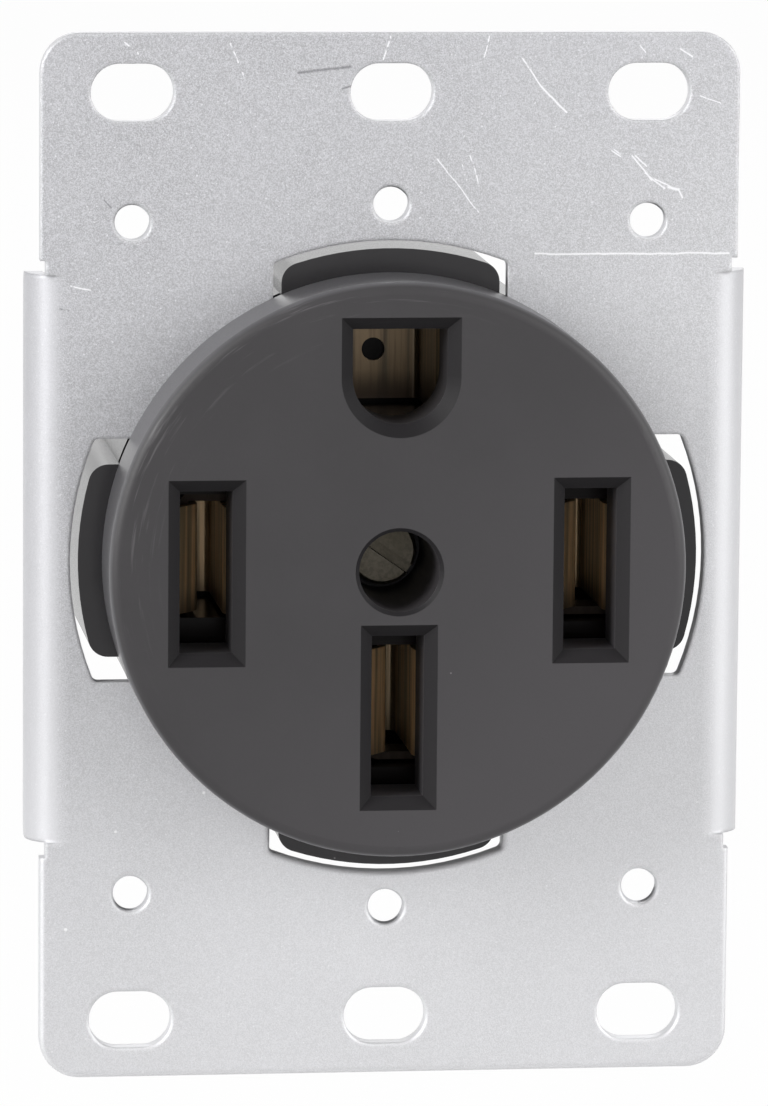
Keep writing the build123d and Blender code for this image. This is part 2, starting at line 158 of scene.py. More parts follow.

# Tones of the mouldings
# Rim scuffs: real scuffs, lightened by a painted highlight
FACE_SCUFF_AND_HIGHLIGHT = (0.22, 0.21, 0.22)
FACE_DUST = (0.26, 0.25, 0.26)
FACE_PORE = (0.02, 0.02, 0.02)
BORE_SHADE = (0.026, 0.023, 0.026)
CHAMFER_SHADE = (0.009, 0.008, 0.009)
# Painted light on the side wall of the cover
SIDE_WALL_PAINTED_LIGHT = (0.12, 0.118, 0.125)
BODY_DUST = (0.20, 0.19, 0.20)
CHAMBER_SHADE = (0.012, 0.009, 0.009)

# Tones of the small metal parts, and what each tarnishes to
SPRING_STEEL, SPRING_TARNISH = (0.030, 0.024, 0.020), (0.018, 0.013, 0.011)
YELLOW_ZINC, YELLOW_TARNISH = (0.26, 0.235, 0.19), (0.12, 0.105, 0.07)
RIVET_TARNISH = (0.34, 0.23, 0.10)
LUG_TARNISH = (0.40, 0.28, 0.12)
PLATE_TARNISH = (0.38, 0.37, 0.35)
SCREW_TARNISH = (0.40, 0.39, 0.36)
DRAWN_LINE = (0.10, 0.06, 0.04)

# Scratches of the strap: start and end, width, and share of breaks, in millimetres
PALE_SCRATCHES = (
    ((11.6, 44.6), (13.3, 42.2), 0.13, 0.30),
    ((13.3, 42.2), (15.6, 39.8), 0.15, 0.20),
    ((21.5, 35.9), (23.3, 33.8), 0.13, 0.20),
    ((21.8, 35.9), (22.8, 35.0), 0.12, 0.25),
    ((22.7, 34.4), (24.5, 33.0), 0.12, 0.20),
    ((23.6, 33.9), (25.2, 33.0), 0.12, 0.20),
    ((24.8, 33.1), (25.7, 32.9), 0.22, 0.15),
    ((25.7, 32.9), (26.1, 32.2), 0.14, 0.20),
    ((19.7, 36.4), (20.5, 35.9), 0.10, 0.25),
    ((19.9, 36.5), (20.5, 36.1), 0.09, 0.30),
    ((3.9, 35.9), (7.8, 31.0), 0.10, 0.35),
    ((7.0, 36.0), (7.9, 33.4), 0.10, 0.40),
    ((6.2, 35.7), (6.8, 33.6), 0.08, 0.45),
    ((8.6, 46.6), (8.1, 44.4), 0.10, 0.40),
    ((27.6, 41.2), (29.4, 40.6), 0.09, 0.30),
    ((25.7, 45.5), (26.8, 44.8), 0.13, 0.30),
    ((22.1, 45.8), (22.6, 45.2), 0.10, 0.35),
    ((-14.3, 46.0), (-13.0, 42.6), 0.12, 0.48),
    ((-0.2, 46.6), (-0.8, 44.6), 0.12, 0.42),
    ((-28.4, 24.6), (-26.7, 24.2), 0.12, 0.30),
    ((-23.7, 46.1), (-22.6, 45.1), 0.14, 0.42),
    ((12.9, 27.2), (30.3, 27.2), 0.15, 0.10),
)
DARK_SCRATCHES = (
    ((-8.3, 43.4), (-3.8, 43.9), 0.22, 0.20),
    ((-4.4, 42.0), (-3.4, 42.3), 0.16, 0.30),
    ((-25.5, 32.2), (-24.9, 31.5), 0.10, 0.35),
    ((-29.4, 22.6), (-27.8, 22.2), 0.16, 0.46),
)


# Settings that a user would change

class StrapSettings(bpy.types.PropertyGroup):
    zinc_colour: FloatVectorProperty(
        name="Zinc Colour", description="Mean colour of the galvanised sheet",
        subtype="COLOR", size=3, min=0, max=1, default=(0.50, 0.50, 0.52),
    )
    grain_contrast: FloatProperty(
        name="Grain Contrast", description="Strength of the fine salt and pepper grain",
        subtype="FACTOR", min=0, max=1, default=0.45,
    )
    # Brightens the rolled edges: partly bare sheared zinc, partly a painted highlight
    edge_zinc_and_highlight: FloatProperty(
        name="Edge Brightness", description="How bright the sheared edges of the sheet are",
        subtype="FACTOR", min=0, max=1, default=0.35,
    )
    thread_depth: FloatProperty(
        name="Thread Depth", description="Height of the thread ridges in the tapped holes",
        unit="LENGTH", min=0, max=0.001, default=0.00013,
    )


class MouldingSettings(bpy.types.PropertyGroup):
    face_colour: FloatVectorProperty(
        name="Face Colour", description="Colour of the moulded front cover",
        subtype="COLOR", size=3, min=0, max=1, default=(0.027, 0.025, 0.027),
    )
    body_colour: FloatVectorProperty(
        name="Body Colour", description="Colour of the rear moulding",
        subtype="COLOR", size=3, min=0, max=1, default=(0.015, 0.014, 0.0155),
    )
    dust_amount: FloatProperty(
        name="Dust", description="How much dust lies on the mouldings",
        subtype="FACTOR", min=0, max=1, default=0.7,
    )


class MetalSettings(bpy.types.PropertyGroup):
    contact_colour: FloatVectorProperty(
        name="Contact Brass", description="Colour of the brass contacts where blades rub them",
        subtype="COLOR", size=3, min=0, max=1, default=(0.90, 0.65, 0.38),
    )
    lug_colour: FloatVectorProperty(
        name="Lug Brass", description="Colour of the terminal lugs",
        subtype="COLOR", size=3, min=0, max=1, default=(0.66, 0.48, 0.21),
    )
    screw_colour: FloatVectorProperty(
        name="Screw Zinc", description="Colour of the plated terminal screws",
        subtype="COLOR", size=3, min=0, max=1, default=(0.58, 0.57, 0.55),
    )
    thread_pitch: FloatProperty(
        name="Thread Pitch", description="Pitch of the terminal screws' thread",
        unit="LENGTH", min=0.0003, max=0.003, default=0.0009,
    )
    thread_steps: IntProperty(
        name="Thread Steps", description="Points round one turn of a thread",
        min=12, max=96, default=48,
    )


class StageSettings(bpy.types.PropertyGroup):
    azimuth: FloatProperty(
        name="Azimuth", description="How far to the left of straight on the camera stands",
        subtype="ANGLE", default=math.radians(6.92),
    )
    elevation: FloatProperty(
        name="Elevation", description="How far above straight on the camera stands",
        subtype="ANGLE", default=math.radians(8.5),
    )
    roll: FloatProperty(
        name="Roll", description="Turn of the camera about its own axis",
        subtype="ANGLE", default=math.radians(0.46),
    )
    distance: FloatProperty(
        name="Distance", description="From the camera to the receptacle",
        unit="LENGTH", min=0.1, max=5, default=0.65,
    )
    pixels_per_metre: FloatProperty(
        name="Scale", description="Photo pixels to one metre at the receptacle",
        min=1000, max=30000, default=11264,
    )
    lamp_power: FloatProperty(
        name="Lamp Power", description="Power of the left soft box",
        unit="POWER", min=0, max=1000, default=9.8,
    )


SETTINGS = {
    "receptacle_strap": StrapSettings,
    "receptacle_mouldings": MouldingSettings,
    "receptacle_metals": MetalSettings,
    "receptacle_stage": StageSettings,
}


# Meshes

def finished_mesh(shape, name):
    """Turns an edited shape into a mesh."""
    mesh = bpy.data.meshes.new(name)
    shape.to_mesh(mesh)
    shape.free()
    return mesh


def linked_object(name, data):
    """Puts a mesh, lamp or camera into the scene as an object."""
    made = bpy.data.objects.new(name, data)
    bpy.context.scene.collection.objects.link(made)
    return made


def piece_from_mesh(name, mesh, replaced=None):
    """Adds a mesh as a piece of the receptacle that rides on its one body."""
    piece = linked_object(name, mesh)
    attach(piece, "root")
    if replaced:
        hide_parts(replaced)
    return piece


def skin_loops(shape, loops):
    """Joins loops of equally many points in turn, and caps both ends."""
    count = len(loops[0])
    for low, high in zip(loops, loops[1:]):
        for here in range(count):
            after = (here + 1) % count
            shape.faces.new((low[here], high[here], high[after], low[after]))
    shape.faces.new(loops[0])
    shape.faces.new(loops[-1][::-1])
    bmesh.ops.recalc_face_normals(shape, faces=shape.faces)


def smooth_by_angle(mesh):
    """Shades a mesh smooth, apart from its sharp edges."""
    mesh.shade_smooth()
    shape = bmesh.new()
    shape.from_mesh(mesh)
    for edge in shape.edges:
        edge.smooth = len(edge.link_faces) == 2 and edge.calc_face_angle(0) < SHARP_ANGLE
    shape.to_mesh(mesh)
    shape.free()


def screw_mesh(name, rings, thread, steps):
    """Threaded pin along +Y: rings are (y, radius), thread is (start, end, root, crest, pitch)."""
    start, end, root, crest, pitch = thread
    rows = max(2, round((end - start) / (pitch / ROWS_PER_PITCH)))
    profile = [(y, radius, False) for y, radius in rings if y <= start]
    profile += [(start + (end - start) * row / rows, root, True) for row in range(rows + 1)]
    profile += [(y, radius, False) for y, radius in rings if y > end]
    shape = bmesh.new()
    loops = []
    for y, radius, threaded in profile:
        loop = []
        for step in range(steps):
            turn = step / steps
            here = radius
            if threaded:
                valley = abs(((y - start) / pitch - turn) % 1.0 - 0.5) * 2
                run_out = max(0.0, min(1.0, (y - start) / pitch, (end - y) / pitch))
                here = root + (crest - root) * (1 - valley) * run_out
            angle = 2 * math.pi * turn
            loop.append(shape.verts.new((here * math.cos(angle), y, here * math.sin(angle))))
        loops.append(loop)
    skin_loops(shape, loops)
    return finished_mesh(shape, name)


def thread_ridge_mesh(hole_radius, depth):
    """Helical ridge on the wall of a hole through the strap, closed at both ends."""
    half = TAPPED_PITCH * TAPPED_HALF_SHARE
    first = STRAP_FRONT + half + TAPPED_MARGIN
    last = -half - TAPPED_MARGIN
    count = round((last - first) / TAPPED_PITCH * TAPPED_STEPS)
    shape = bmesh.new()
    loops = []
    for step in range(count + 1):
        angle = 2 * math.pi * step / TAPPED_STEPS
        y = first + (last - first) * step / count
        taper = min(1.0, step / TAPPED_TAPER_STEPS, (count - step) / TAPPED_TAPER_STEPS)
        taper = taper * (1 - TAPPED_TIP_SHARE) + TAPPED_TIP_SHARE
        sunk = hole_radius + TAPPED_SUNK
        section = ((sunk, -half), (hole_radius - depth * taper, 0.0), (sunk, half))
        loops.append([
            shape.verts.new((radius * math.cos(angle), y + shift * taper, radius * math.sin(angle)))
            for radius, shift in section
        ])
    skin_loops(shape, loops)
    return finished_mesh(shape, "thread_ridge")


def cut_slot(piece, size, place, turn=None):
    """Cuts a driver's slot out of a screw for good, with a box that is deleted after the cut."""
    shape = bmesh.new()
    bmesh.ops.create_cube(shape, size=1)
    turn = turn or Matrix.Identity(4)
    matrix = Matrix.Translation(place) @ turn @ Matrix.Diagonal((*size, 1))
    bmesh.ops.transform(shape, matrix=matrix, verts=shape.verts)
    cutter = linked_object("slot_cutter", finished_mesh(shape, "slot_cutter"))
    cut = piece.modifiers.new("Cut", "BOOLEAN")
    cut.operation = "DIFFERENCE"
    cut.solver = "EXACT"
    cut.object = cutter
    bpy.context.view_layer.update()
    evaluated = piece.evaluated_get(bpy.context.evaluated_depsgraph_get())
    mesh = bpy.data.meshes.new_from_object(evaluated)
    piece.modifiers.clear()
    piece.data = mesh
    bpy.data.objects.remove(cutter, do_unlink=True)
    smooth_by_angle(mesh)


# Shader nodes

def feed(tree, socket, value):
    """Links a socket to the one given, or sets it to a plain value."""
    if isinstance(value, bpy.types.NodeSocket):
        tree.links.new(value, socket)
    else:
        socket.default_value = value


def math_node(tree, operation, first, second=None, clamp=False):
    node = tree.nodes.new("ShaderNodeMath")
    node.operation = operation
    node.use_clamp = clamp
    feed(tree, node.inputs[0], first)
    if second is not None:
        feed(tree, node.inputs[1], second)
    return node.outputs[0]


def times(tree, first, second):
    return math_node(tree, "MULTIPLY", first, second)


def plus(tree, first, second):
    return math_node(tree, "ADD", first, second)


def vector_node(tree, operation, first, second=None):
    node = tree.nodes.new("ShaderNodeVectorMath")
    node.operation = operation
    feed(tree, node.inputs[0], first)
    if second is not None:
        feed(tree, node.inputs["Scale" if operation == "SCALE" else 1], second)
    gives_number = operation in ("LENGTH", "DOT_PRODUCT", "DISTANCE")
    return node.outputs["Value" if gives_number else "Vector"]


def axes_of(tree, vector):
    """The X, Y and Z of a vector, by name."""
    node = tree.nodes.new("ShaderNodeSeparateXYZ")
    tree.links.new(vector, node.inputs[0])
    return node.outputs


def from_middle(tree, place):
    """How far a place is from the Y axis."""
    return vector_node(tree, "LENGTH", vector_node(tree, "MULTIPLY", place, (1.0, 0.0, 1.0)))


def ramp_between(tree, value, low, high, at_low=0.0, at_high=1.0):
    """Smooth step of a value from low to high."""
    node = tree.nodes.new("ShaderNodeMapRange")
    node.interpolation_type = "SMOOTHSTEP"
    for socket, given in zip(node.inputs[0:5], (value, low, high, at_low, at_high)):
        feed(tree, socket, given)
    return node.outputs[0]


def mix_colour(tree, factor, first, second):
    node = tree.nodes.new("ShaderNodeMix")
    node.data_type = "RGBA"
    tree.links.new(factor, node.inputs[0])
    for socket, colour in ((node.inputs[6], first), (node.inputs[7], second)):
        feed(tree, socket, (*colour, 1.0) if isinstance(colour, tuple) else colour)
    return node.outputs[2]


def tint(tree, colour, mask, strength, tone):
    """Mixes a tone into a colour where a mask is, up to a strength."""
    return mix_colour(tree, times(tree, mask, strength), colour, tone)


def noise(tree, place, scale, detail, roughness):
    node = tree.nodes.new("ShaderNodeTexNoise")
    tree.links.new(place, node.inputs["Vector"])
    feed(tree, node.inputs["Scale"], scale)
    node.inputs["Detail"].default_value = detail
    node.inputs["Roughness"].default_value = roughness
    return node.outputs["Fac"]


def stretched_noise(tree, place, scales, detail, roughness):
    """Noise with its own scale along each axis."""
    return noise(tree, vector_node(tree, "MULTIPLY", place, scales), 1.0, detail, roughness)


def broken_edge(tree, facing):
    """Mask of the thin edge between a wall and a face, from how much a surface faces along Y."""
    off_wall = ramp_between(tree, facing, *EDGE_OFF_WALL)
    return times(tree, off_wall, ramp_between(tree, facing, *EDGE_OFF_FACE))


# Shader node groups

def new_group(name, inputs, outputs):
    """Shader node group with named sockets: inputs are (name, kind, default), outputs (name, kind)."""
    group = bpy.data.node_groups.new(name, "ShaderNodeTree")
    for label, kind, default in inputs:
        socket = group.interface.new_socket(label, in_out="INPUT", socket_type="NodeSocket" + kind)
        if default is not None:
            socket.default_value = default
    for label, kind in outputs:
        group.interface.new_socket(label, in_out="OUTPUT", socket_type="NodeSocket" + kind)
    entry = group.nodes.new("NodeGroupInput")
    leave = group.nodes.new("NodeGroupOutput")
    return group, entry.outputs, leave.inputs


def make_grain_group():
    """Fine crystalline grain of a zinc coat: a value about 0.5, with flecks."""
    group, given, out = new_group(
        "Zinc Grain",
        [("Position", "Vector", None), ("Grain Size", "Float", 0.00018)],
        [("Grain", "Float"), ("Bright Flecks", "Float"), ("Dark Flecks", "Float")],
    )
    place = given["Position"]
    scale = math_node(group, "DIVIDE", 1.0, given["Grain Size"])
    fine = noise(group, place, scale, detail=3.0, roughness=0.75)
    coarse = noise(group, place, times(group, scale, 0.17), detail=2.0, roughness=0.6)
    grain = plus(group, times(group, fine, 0.92), times(group, coarse, 0.08))
    group.links.new(ramp_between(group, grain, 0.36, 0.64), out["Grain"])
    flecks = (("Bright Flecks", 0.53, 0.66, 0.76), ("Dark Flecks", 0.61, 0.68, 0.78))
    for label, share, low, high in flecks:
        fleck = noise(group, place, times(group, scale, share), detail=1.0, roughness=0.4)
        group.links.new(ramp_between(group, fleck, low, high), out[label])
    return group


def make_scratch_group():
    """One scratch between two points of the sheet, broken up by gaps."""
    group, given, out = new_group(
        "Scratch",
        [
            ("Position", "Vector", None),
            ("Gaps", "Float", 1.0),
            ("Start", "Vector", (0, 0, 0)),
            ("End", "Vector", (0.01, 0, 0)),
            ("Width", "Float", 0.0001),
            ("Breaks", "Float", 0.35),
        ],
        [("Scratch", "Float")],
    )
    from_start = vector_node(group, "SUBTRACT", given["Position"], given["Start"])
    along = vector_node(group, "SUBTRACT", given["End"], given["Start"])
    dot = vector_node(group, "DOT_PRODUCT", from_start, along)
    whole = vector_node(group, "DOT_PRODUCT", along, along)
    share = math_node(group, "DIVIDE", dot, whole, clamp=True)
    nearest = vector_node(group, "SCALE", along, share)
    away = vector_node(group, "DISTANCE", from_start, nearest)
    line = ramp_between(group, away, given["Width"], 0.0)
    kept = ramp_between(group, given["Gaps"], given["Breaks"], plus(group, given["Breaks"], 0.12))
    group.links.new(math_node(group, "MULTIPLY", line, kept, clamp=True), out["Scratch"])
    return group


def make_wander_group():
    """Place in the plane of the sheet, shifted a little from spot to spot, and gaps for broken lines."""
    group, given, out = new_group(
        "Wander",
        [("Position", "Vector", None), ("Amount", "Float", 0.0003)],
        [("Wandered", "Vector"), ("Gaps", "Float")],
    )
    drift = group.nodes.new("ShaderNodeTexNoise")
    drift.inputs["Scale"].default_value = 420.0
    group.links.new(given["Position"], drift.inputs["Vector"])
    shift = vector_node(group, "SUBTRACT", drift.outputs["Color"], (0.5, 0.5, 0.5))
    moved = vector_node(group, "MULTIPLY_ADD", shift, given["Amount"])
    group.links.new(given["Position"], moved.node.inputs[2])
    in_plane = vector_node(group, "MULTIPLY", moved, (1.0, 0.0, 1.0))
    group.links.new(in_plane, out["Wandered"])
    gaps = noise(group, given["Position"], 1900.0, detail=2.0, roughness=0.6)
    group.links.new(gaps, out["Gaps"])
    return group


def make_speck_group():
    """Scattered small specks of dust and lint, of pores, and of painted glints."""
    group, given, out = new_group(
        "Specks",
        [
            ("Position", "Vector", None),
            ("Spacing", "Float", 0.002),
            ("Size", "Float", 0.08),
            ("Share", "Float", 0.3),
        ],
        [("Specks", "Float")],
    )
    cells = group.nodes.new("ShaderNodeTexVoronoi")
    group.links.new(given["Position"], cells.inputs["Vector"])
    group.links.new(math_node(group, "DIVIDE", 1.0, given["Spacing"]), cells.inputs["Scale"])
    core = times(group, given["Size"], 0.4)
    spot = ramp_between(group, cells.outputs["Distance"], given["Size"], core)
    parts = group.nodes.new("ShaderNodeSeparateColor")
    group.links.new(cells.outputs["Color"], parts.inputs[0])
    chosen = math_node(group, "LESS_THAN", parts.outputs[0], given["Share"])
    group.links.new(times(group, spot, chosen), out["Specks"])
    return group


def make_sheet_edge_group():
    """Masks of a pressed sheet: the sheared walls, and the thin broken edge between wall and face."""
    group, given, out = new_group(
        "Sheet Edges",
        [("Normal", "Vector", None)],
        [("Wall", "Float"), ("Broken Edge", "Float")],
    )
    facing = math_node(group, "ABSOLUTE", axes_of(group, given["Normal"])["Y"])
    group.links.new(ramp_between(group, facing, *WALL_SLOPE), out["Wall"])
    group.links.new(broken_edge(group, facing), out["Broken Edge"])
    return group


def make_handling_group():
    """Broad soft unevenness of a handled surface, a value about 0.5."""
    group, given, out = new_group(
        "Handling",
        [("Position", "Vector", None), ("Patch Size", "Float", 0.02)],
        [("Unevenness", "Float")],
    )
    scale = math_node(group, "DIVIDE", 1.0, given["Patch Size"])
    patches = noise(group, given["Position"], scale, detail=4.0, roughness=0.55)
    group.links.new(ramp_between(group, patches, 0.3, 0.7), out["Unevenness"])
    return group


GROUPS = {}


def shared_groups():
    """Builds each shared group once."""
    if not GROUPS:
        GROUPS["grain"] = make_grain_group()
        GROUPS["scratch"] = make_scratch_group()
        GROUPS["wander"] = make_wander_group()
        GROUPS["specks"] = make_speck_group()
        GROUPS["edges"] = make_sheet_edge_group()
        GROUPS["handling"] = make_handling_group()
    return GROUPS


def use_group(tree, name, position=None, **values):
    """Places a group in a material. A value such as patch_size goes to the socket Patch Size."""
    node = tree.nodes.new("ShaderNodeGroup")
    node.node_tree = shared_groups()[name]
    if position is not None:
        tree.links.new(position, node.inputs["Position"])
    for key, value in values.items():
        feed(tree, node.inputs[key.replace("_", " ").title()], value)
    return node.outputs


def patches_of(tree, place, size):
    return use_group(tree, "handling", place, patch_size=size)["Unevenness"]


def specks_of(tree, place, spacing, size, share):
    return use_group(tree, "specks", place, spacing=spacing, size=size, share=share)["Specks"]


# Materials

def new_material(name):
    material = bpy.data.materials.new(name)
    material.use_nodes = True
    tree = material.node_tree
    surface = tree.nodes["Principled BSDF"]
    place = tree.nodes.new("ShaderNodeTexCoord").outputs["Object"]
    return material, tree, surface, place


def bump(tree, surface, height, distance, strength, normal=None):
    node = tree.nodes.new("ShaderNodeBump")
    if normal is not None:
        tree.links.new(normal, node.inputs["Normal"])
    node.inputs["Strength"].default_value = strength
    node.inputs["Distance"].default_value = distance
    tree.links.new(height, node.inputs["Height"])
    tree.links.new(node.outputs[0], surface.inputs["Normal"])


def roughen(tree, surface, mask, amount, least):
    """Roughness that rises from a least value by an amount of a mask."""
    tree.links.new(plus(tree, times(tree, mask, amount), least), surface.inputs["Roughness"])


def scratch_sum(tree, wander, scratches):
    """Mask of all the scratches in a table, which gives millimetres across and up the strap."""
    total = None
    for (start_x, start_z), (end_x, end_z), width, breaks in scratches:
        one = use_group(
            tree, "scratch", wander["Wandered"], gaps=wander["Gaps"],
            start=(start_x * MM, 0.0, start_z * MM), end=(end_x * MM, 0.0, end_z * MM),
            width=width * MM, breaks=breaks,
        )["Scratch"]
        total = one if total is None else math_node(tree, "MAXIMUM", total, one)
    return total


def soft_edge_normal(tree, radius):
    """Normal that rolls over within a radius of each edge: for shading, and in the object's own axes."""
    rolled = tree.nodes.new("ShaderNodeBevel")
    rolled.samples = 6
    rolled.inputs["Radius"].default_value = radius
    turned = tree.nodes.new("ShaderNodeVectorTransform")
    turned.vector_type = "NORMAL"
    turned.convert_from = "WORLD"
    turned.convert_to = "OBJECT"
    tree.links.new(rolled.outputs[0], turned.inputs[0])
    return rolled.outputs[0], turned.outputs[0]


def galvanised_steel(settings):
    """Zinc coated sheet: fine grain, smoother bends, bright rolled edges that are partly bare zinc and partly a
    painted highlight, scratches, painted glints, and painted light that makes the sheet paler towards the lower
    right.
    """
    material, tree, surface, place = new_material("galvanised_steel")
    zinc = tuple(settings.zinc_colour)
    dark = tuple(value * (1 - 0.6 * settings.grain_contrast) for value in zinc)
    pale = tuple(min(1.0, value * (1 + 0.55 * settings.grain_contrast)) for value in zinc)
    axes = axes_of(tree, place)
    sideways = math_node(tree, "ABSOLUTE", axes["X"])
    upright = math_node(tree, "ABSOLUTE", axes["Z"])
    bend = ramp_between(tree, sideways, *BEND)
    bend = times(tree, bend, ramp_between(tree, upright, *FLANGE_END))
    flat = math_node(tree, "SUBTRACT", 1.0, bend)

    grain = use_group(tree, "grain", place, grain_size=0.12 * MM)
    upward = ramp_between(tree, axes["Z"], *STRAP_UPWARD, at_low=0.75, at_high=1.0)
    contrast = times(tree, upward, ramp_between(tree, bend, 0.0, 1.0, at_low=1.0, at_high=0.35))
    centred = math_node(tree, "SUBTRACT", grain["Grain"], 0.5)
    colour = mix_colour(tree, plus(tree, times(tree, centred, contrast), 0.5), dark, pale)
    colour = tint(tree, colour, patches_of(tree, place, 18 * MM), 0.18, CHALKY_ZINC)
    colour = tint(tree, colour, times(tree, grain["Bright Flecks"], contrast), 0.5, BRIGHT_FLECK)
    colour = tint(tree, colour, times(tree, grain["Dark Flecks"], contrast), 0.6, DARK_FLECK)
    # Painted light: the sheet is painted paler towards the lower right, where more light falls
    rightward = math_node(tree, "SUBTRACT", times(tree, axes["X"], 0.8), axes["Z"])
    colour = tint(tree, colour, ramp_between(tree, rightward, *PAINTED_LIGHT_SIDE), 0.40, PAINTED_LIGHT_ZINC)
    # Painted glints: bright specks painted where light would sparkle off the zinc
    glints = specks_of(tree, place, spacing=4.2 * MM, size=0.05, share=0.22)
    colour = tint(tree, colour, glints, 0.7, GLINT)

    shaded_normal, own_normal = soft_edge_normal(tree, 0.5 * MM)
    edges = use_group(tree, "edges", normal=own_normal)
    colour = tint(tree, colour, times(tree, edges["Wall"], flat), 0.5, SHEARED_ZINC)
    # The rolled edges are painted brighter: partly bare zinc, partly a painted highlight
    rim = times(tree, edges["Broken Edge"], flat)
    colour = tint(tree, colour, rim, settings.edge_zinc_and_highlight, BARE_EDGE_AND_HIGHLIGHT)
    wander = use_group(tree, "wander", place, amount=0.35 * MM)
    front = ramp_between(tree, axes["Y"], *STRAP_FACE)
    pale_marks = times(tree, scratch_sum(tree, wander, PALE_SCRATCHES), front)
    colour = tint(tree, colour, pale_marks, 0.85, PALE_SCRATCH)
    dark_marks = times(tree, scratch_sum(tree, wander, DARK_SCRATCHES), front)
    colour = tint(tree, colour, dark_marks, 0.65, DARK_SCRATCH)

    tree.links.new(colour, surface.inputs["Base Color"])
    surface.inputs["Metallic"].default_value = 0.45
    roughen(tree, surface, grain["Grain"], 0.12, 0.40)
    # The marks stay out of the relief: with them the shader is too long for the renderer
    relief = times(tree, times(tree, grain["Grain"], contrast), 0.25)
    bump(tree, surface, relief, 0.04 * MM, 0.6, shaded_normal)
    return material


def moulded_face(settings):
    """Matte thermoset of the front cover: fine skin, scuffed rim with a painted highlight on its upper left,
    dust, dull slot chamfers with painted shade, painted shade in the bore, painted light on the side wall, and a
    painted sheen towards the lower right.
    """
    material, tree, surface, place = new_material("moulded_face")
    base = tuple(settings.face_colour)
    lighter = tuple(value * 1.95 for value in base)
    colour = tint(tree, base, patches_of(tree, place, 13 * MM), 0.2, lighter)
    axes = axes_of(tree, place)
    radius = from_middle(tree, place)
    upper_left = math_node(tree, "SUBTRACT", axes["Z"], axes["X"])
    # Painted sheen: the face is painted lighter towards the lower right
    colour = tint(tree, colour, ramp_between(tree, upper_left, *PAINTED_SHEEN_SIDE), 0.8, lighter)

    near_rim = ramp_between(tree, radius, *FACE_RIM)
    angle = math_node(tree, "ARCTAN2", axes["Z"], times(tree, axes["X"], -1.0))
    rings = tree.nodes.new("ShaderNodeCombineXYZ")
    tree.links.new(times(tree, radius, 2600.0), rings.inputs["X"])
    tree.links.new(times(tree, angle, 3.0), rings.inputs["Y"])
    ring_noise = noise(tree, rings.outputs[0], 1.0, detail=3.0, roughness=0.6)
    # Real scuffs near the rim, with a painted highlight: only on the upper left, where light catches them
    scuffs = times(tree, ramp_between(tree, ring_noise, 0.56, 0.72), near_rim)
    scuffs = times(tree, scuffs, ramp_between(tree, upper_left, *SCUFF_HIGHLIGHT_SIDE))
    colour = tint(tree, colour, scuffs, 0.34, FACE_SCUFF_AND_HIGHLIGHT)
    dust = specks_of(tree, place, spacing=2.1 * MM, size=0.045, share=0.22)
    colour = tint(tree, colour, dust, settings.dust_amount, FACE_DUST)

    bore = ramp_between(tree, radius, *CENTRE_BORE)
    inward = ramp_between(tree, axes["Y"], *BORE_INWARD, at_low=0.5, at_high=0.9)
    colour = tint(tree, colour, bore, inward, BORE_SHADE)
    _, own_normal = soft_edge_normal(tree, 0.1 * MM)
    facing = math_node(tree, "ABSOLUTE", axes_of(tree, own_normal)["Y"])
    chamfer = times(tree, broken_edge(tree, facing), ramp_between(tree, radius, *SLOT_AREA))
    colour = tint(tree, colour, chamfer, 0.8, CHAMFER_SHADE)
    gloss = ramp_between(tree, chamfer, 0.0, 1.0, at_low=0.5, at_high=0.2)
    tree.links.new(gloss, surface.inputs["Specular IOR Level"])
    # Painted light: the side wall is painted lighter, as if lit; its lower roughness is a real polish
    side = ramp_between(tree, radius, *FACE_SIDE)
    colour = tint(tree, colour, side, 0.7, SIDE_WALL_PAINTED_LIGHT)
    pores = specks_of(tree, place, spacing=0.9 * MM, size=0.09, share=0.30)
    colour = tint(tree, colour, pores, 0.25, FACE_PORE)

    tree.links.new(colour, surface.inputs["Base Color"])
    skin = noise(tree, place, 5200.0, detail=3.0, roughness=0.6)
    rough = plus(tree, times(tree, skin, 0.14), 0.46)
    tree.links.new(plus(tree, rough, times(tree, side, -0.20)), surface.inputs["Roughness"])
    height = math_node(tree, "SUBTRACT", times(tree, skin, 0.5), times(tree, pores, 0.4))
    bump(tree, surface, height, 0.03 * MM, 0.5)
    return material


def moulded_body(settings):
    """Black thermoset of the rear body, glossier than the face, and dull and with painted shade inside its
    chambers.
    """
    material, tree, surface, place = new_material("moulded_body")
    base = tuple(settings.body_colour)
    lighter = tuple(value * 1.7 for value in base)
    colour = tint(tree, base, patches_of(tree, place, 9 * MM), 0.5, lighter)
    dust = specks_of(tree, place, spacing=2.4 * MM, size=0.05, share=0.25)
    colour = tint(tree, colour, dust, settings.dust_amount, BODY_DUST)
    inside = ramp_between(tree, from_middle(tree, place), *CHAMBERS)
    inward = ramp_between(tree, axes_of(tree, place)["Y"], *CHAMBERS_INWARD)
    inside = times(tree, inside, inward)
    colour = mix_colour(tree, inside, colour, CHAMBER_SHADE)
    gloss = ramp_between(tree, inside, 0.0, 1.0, at_low=0.5, at_high=0.1)
    tree.links.new(gloss, surface.inputs["Specular IOR Level"])
    tree.links.new(colour, surface.inputs["Base Color"])
    skin = noise(tree, place, 2600.0, detail=3.0, roughness=0.6)
    roughen(tree, surface, skin, 0.12, 0.14)
    surface.inputs["IOR"].default_value = 1.42
    bump(tree, surface, skin, 0.02 * MM, 0.25)
    return material


